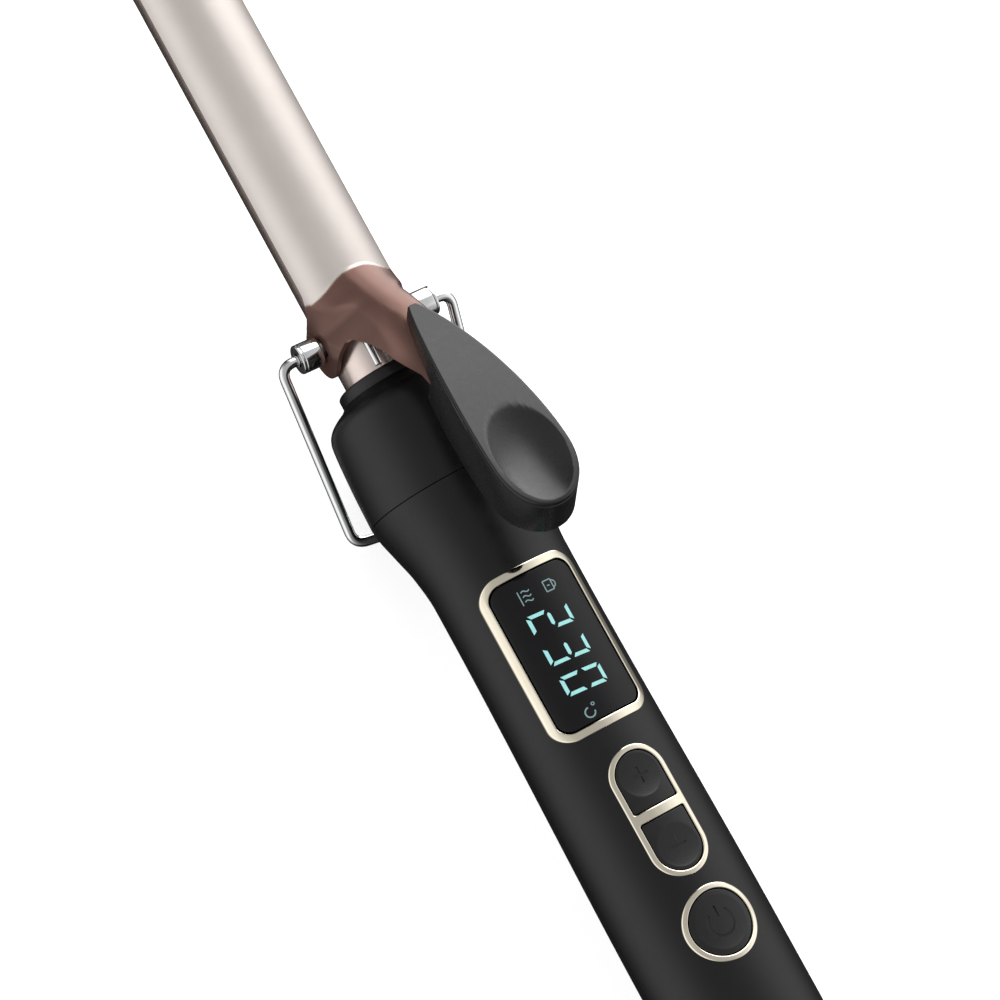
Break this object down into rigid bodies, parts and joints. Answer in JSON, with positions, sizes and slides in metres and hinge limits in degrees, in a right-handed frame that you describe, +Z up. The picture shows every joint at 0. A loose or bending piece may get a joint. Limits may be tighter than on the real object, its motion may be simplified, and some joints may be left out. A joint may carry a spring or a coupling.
{
  "type": "curling iron",
  "caption": "Hair curling iron: slim round heated barrel, spring clip with thumb lever, folding wire stand, round handle with display window, two-way key and power key.",
  "frame": {"origin": "centre of the footprint of the iron lying on its folded wire stand, at the surface it lies on", "axes": "+X along the barrel towards the cool tip, +Z up on the thumb lever's side, +Y to the left of someone looking along +X"},
  "size_m": [0.355, 0.0418, 0.069],
  "materials": {
    "soft_touch_black": "soft-touch matt",
    "key_black": "fine matt",
    "lever_grey": "satin",
    "champagne_trim": "satin plated",
    "rose_gold_coating": "satin metallic ceramic coat",
    "bright_chrome": "polished",
    "plain_steel": "zinc plated",
    "heater_alloy": "as extruded",
    "heater_ceramic": "unglazed ceramic",
    "display_glass": "smoked gloss",
    "circuit_board": "solder mask",
    "component_black": "moulded",
    "wire_sleeving": "woven glass"
  },
  "bodies": {
    "handle": {"upper_shell": "soft_touch_black", "lower_shell": "soft_touch_black", "front_collar": "soft_touch_black", "cool_tip": "soft_touch_black", "display_bezel": "champagne_trim", "button_bezel": "champagne_trim", "power_ring": "champagne_trim", "barrel_tube": "rose_gold_coating", "pivot_sleeve_left": "bright_chrome", "pivot_sleeve_right": "bright_chrome", "clamp_spring": "bright_chrome", "barrel_mount_sleeve": "plain_steel", "barrel_retainer": "plain_steel", "retainer_screw_left": "plain_steel", "retainer_screw_right": "plain_steel", "pivot_stud_left": "plain_steel", "pivot_stud_right": "plain_steel", "shell_screw_1": "plain_steel", "shell_screw_2": "plain_steel", "thermal_fuse": "plain_steel", "swivel_contact_plate": "plain_steel", "heater_clamp_upper": "heater_alloy", "heater_clamp_lower": "heater_alloy", "ptc_heater": "heater_ceramic", "temperature_sensor": "heater_ceramic", "display_lens": "display_glass", "main_pcb": "circuit_board", "display_module": "component_black", "plus_switch": "component_black", "minus_switch": "component_black", "power_switch": "component_black", "power_triac": "component_black", "mains_capacitor": "component_black", "terminal_block": "component_black", "heater_lead_left": "wire_sleeving", "heater_lead_right": "wire_sleeving"},
    "clamp": {"clip_plate": "rose_gold_coating", "thumb_lever": "lever_grey", "lever_screw_1": "plain_steel", "lever_screw_2": "plain_steel"},
    "stand": {"stand_wire": "bright_chrome"},
    "plus_key": {"plus_button": "key_black"},
    "minus_key": {"minus_button": "key_black"},
    "power_key": {"power_button": "key_black"},
    "cord_swivel": {"swivel_gland": "soft_touch_black"}
  },
  "joints": [
    {"name": "clamp_hinge", "type": "hinge", "parent": "handle", "child": "clamp", "pos_m": [0.0125, 0, 0.02105], "axis": [0, -1, 0], "range_deg": [0, 16.5], "stiffness_Nm_per_rad": 0.9, "springref_deg": -14.32, "deforming": ["clamp_spring"]},
    {"name": "stand_swing", "type": "hinge", "parent": "handle", "child": "stand", "pos_m": [0.0125, 0, 0.02105], "axis": [0, -1, 0], "range_deg": [0, 95]},
    {"name": "plus_press", "type": "slide", "parent": "handle", "child": "plus_key", "axis": [0, 0, -1], "range_m": [0, 0.0006], "stiffness_N_per_m": 1500, "springref_m": -0.0003},
    {"name": "minus_press", "type": "slide", "parent": "handle", "child": "minus_key", "axis": [0, 0, -1], "range_m": [0, 0.0006], "stiffness_N_per_m": 1500, "springref_m": -0.0003},
    {"name": "power_press", "type": "slide", "parent": "handle", "child": "power_key", "axis": [0, 0, -1], "range_m": [0, 0.0006], "stiffness_N_per_m": 1500, "springref_m": -0.0003},
    {"name": "cord_swivel_turn", "type": "hinge", "parent": "handle", "child": "cord_swivel", "pos_m": [-0.1595, 0, 0.02105], "axis": [1, 0, 0], "continuous": true}
  ]
}
